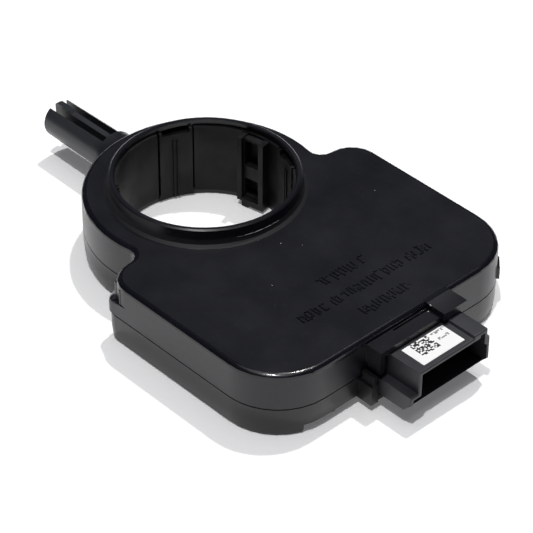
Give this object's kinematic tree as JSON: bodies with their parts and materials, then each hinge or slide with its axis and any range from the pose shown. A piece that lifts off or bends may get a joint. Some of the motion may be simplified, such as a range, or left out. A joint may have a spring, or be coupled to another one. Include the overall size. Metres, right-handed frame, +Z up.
{
  "type": "steering angle sensor",
  "caption": "Flat moulded ring-and-box sensor that a steering column passes through, with a geared rotor in its bore, a split snap peg and a plug socket.",
  "frame": {"origin": "on the axis of the column bore, level with the underside the sensor rests on", "axes": "+Z up along the column axis, towards the lip of the bore; +X from the bore towards the plug socket; the snap peg points along -X"},
  "size_m": [0.1374, 0.0808, 0.0222],
  "materials": {
    "cover_plastic": "fine moulded satin",
    "housing_plastic": "fine moulded satin",
    "header_plastic": "moulded satin",
    "rotor_acetal": "smooth moulded",
    "gear_acetal": "smooth moulded",
    "magnet_nickel": "nickel plated",
    "board_laminate": "solder mask over glass laminate",
    "chip_epoxy": "moulded epoxy",
    "can_aluminium": "drawn can",
    "contact_tin": "tin plated"
  },
  "bodies": {
    "housing": {"upper_cover": "cover_plastic", "lower_housing": "housing_plastic", "connector_header": "header_plastic", "circuit_board": "board_laminate", "angle_sensor_a": "chip_epoxy", "angle_sensor_b": "chip_epoxy", "microcontroller": "chip_epoxy", "bus_transceiver": "chip_epoxy", "voltage_regulator": "chip_epoxy", "buffer_capacitor": "can_aluminium", "quartz_crystal": "can_aluminium", "contact_pin_1": "contact_tin", "contact_pin_2": "contact_tin", "contact_pin_3": "contact_tin", "contact_pin_4": "contact_tin", "contact_pin_5": "contact_tin", "contact_pin_6": "contact_tin"},
    "rotor": {"rotor_hub": "rotor_acetal"},
    "gear_a": {"measuring_gear_a": "gear_acetal", "gear_magnet_a": "magnet_nickel"},
    "gear_b": {"measuring_gear_b": "gear_acetal", "gear_magnet_b": "magnet_nickel"}
  },
  "joints": [
    {"name": "rotor_turn", "type": "hinge", "parent": "housing", "child": "rotor", "pos_m": [0, 0, 0], "axis": [0, 0, 1], "continuous": true},
    {"name": "gear_a_turn", "type": "hinge", "parent": "housing", "child": "gear_a", "pos_m": [0.03213, 0.01656, 0], "axis": [0, 0, 1], "continuous": true},
    {"name": "gear_b_turn", "type": "hinge", "parent": "housing", "child": "gear_b", "pos_m": [0.03142, -0.0162, 0], "axis": [0, 0, 1], "continuous": true}
  ],
  "couplings": [
    {"joint": "gear_a_turn", "follows": "rotor_turn", "ratio": -2.75},
    {"joint": "gear_b_turn", "follows": "rotor_turn", "ratio": -3}
  ]
}
